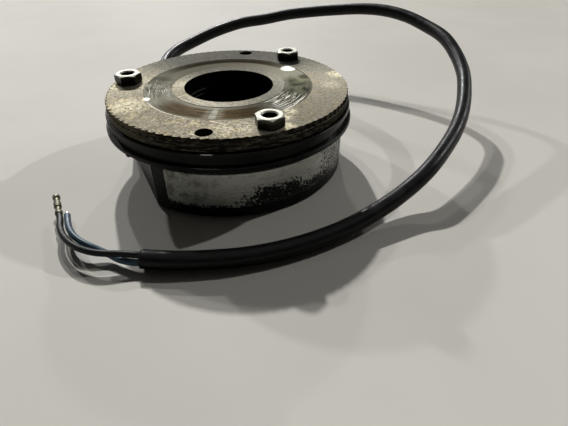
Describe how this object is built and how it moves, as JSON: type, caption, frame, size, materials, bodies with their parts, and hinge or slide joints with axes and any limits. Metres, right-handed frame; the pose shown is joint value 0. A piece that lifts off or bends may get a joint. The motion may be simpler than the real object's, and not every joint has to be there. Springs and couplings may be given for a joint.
{
  "type": "spring applied brake",
  "caption": "Round spring-applied electromagnetic brake: coil stator with grooved collar, sprung armature plate on hollow hex bolts, rear torque adjuster ring and a flexible cable.",
  "frame": {"origin": "centre of the stator's back face, on the brake's axis, where it stands on a table", "axes": "+Z along the brake's axis from the back of the stator to the armature plate; -Y towards the picture's viewer"},
  "size_m": [0.1436, 0.1722, 0.0372],
  "materials": {
    "housing_paint": "gloss black paint, worn at the edges",
    "plate_steel": "worn bare steel, stained, scratched track",
    "zinc_steel": "zinc plated",
    "ring_steel": "turned",
    "bolt_steel": "turned",
    "spring_steel": "drawn wire",
    "former_plastic": "moulded",
    "copper_wire": "enamelled wire",
    "potting_resin": "cast resin",
    "grommet_rubber": "moulded",
    "cable_pvc": "satin",
    "core_black_pvc": "satin",
    "core_blue_pvc": "satin",
    "ferrule_metal": "dull, crimped",
    "bare_copper": "bare strands"
  },
  "bodies": {
    "stator": {"stator_housing": "housing_paint", "coil_former": "former_plastic", "coil_winding": "copper_wire", "potting_ring": "potting_resin", "sleeve_bolts": "zinc_steel", "compression_spring_1": "spring_steel", "compression_spring_2": "spring_steel", "compression_spring_3": "spring_steel", "compression_spring_4": "spring_steel", "compression_spring_5": "spring_steel", "compression_spring_6": "spring_steel", "cable_grommet": "grommet_rubber", "cable_jacket": "cable_pvc", "core_dark": "core_black_pvc", "core_blue": "core_blue_pvc", "ferrule_dark": "ferrule_metal", "bare_end_blue": "bare_copper"},
    "armature": {"armature_plate": "plate_steel"},
    "setting_bolts": {"setting_bolt_1": "bolt_steel", "setting_bolt_2": "bolt_steel", "setting_bolt_3": "bolt_steel", "setting_bolt_4": "bolt_steel", "setting_bolt_5": "bolt_steel", "setting_bolt_6": "bolt_steel"},
    "adjuster": {"adjuster_ring": "ring_steel"}
  },
  "joints": [
    {"name": "armature_slide", "type": "slide", "parent": "stator", "child": "armature", "axis": [0, 0, 1], "range_m": [-0.00035, 0], "stiffness_N_per_m": 20000, "springref_m": 0.0095, "deforming": ["compression_spring_1", "compression_spring_2", "compression_spring_3", "compression_spring_4", "compression_spring_5", "compression_spring_6"]},
    {"name": "setting_slide", "type": "slide", "parent": "stator", "child": "setting_bolts", "axis": [0, 0, -1], "range_m": [0, 0.0015]},
    {"name": "adjuster_turn", "type": "hinge", "parent": "setting_bolts", "child": "adjuster", "pos_m": [0, 0, 0.004], "axis": [0, 0, -1], "range_deg": [0, 360]}
  ],
  "couplings": [
    {"joint": "adjuster_turn", "follows": "setting_slide", "rad_per_m": 4188.8}
  ]
}
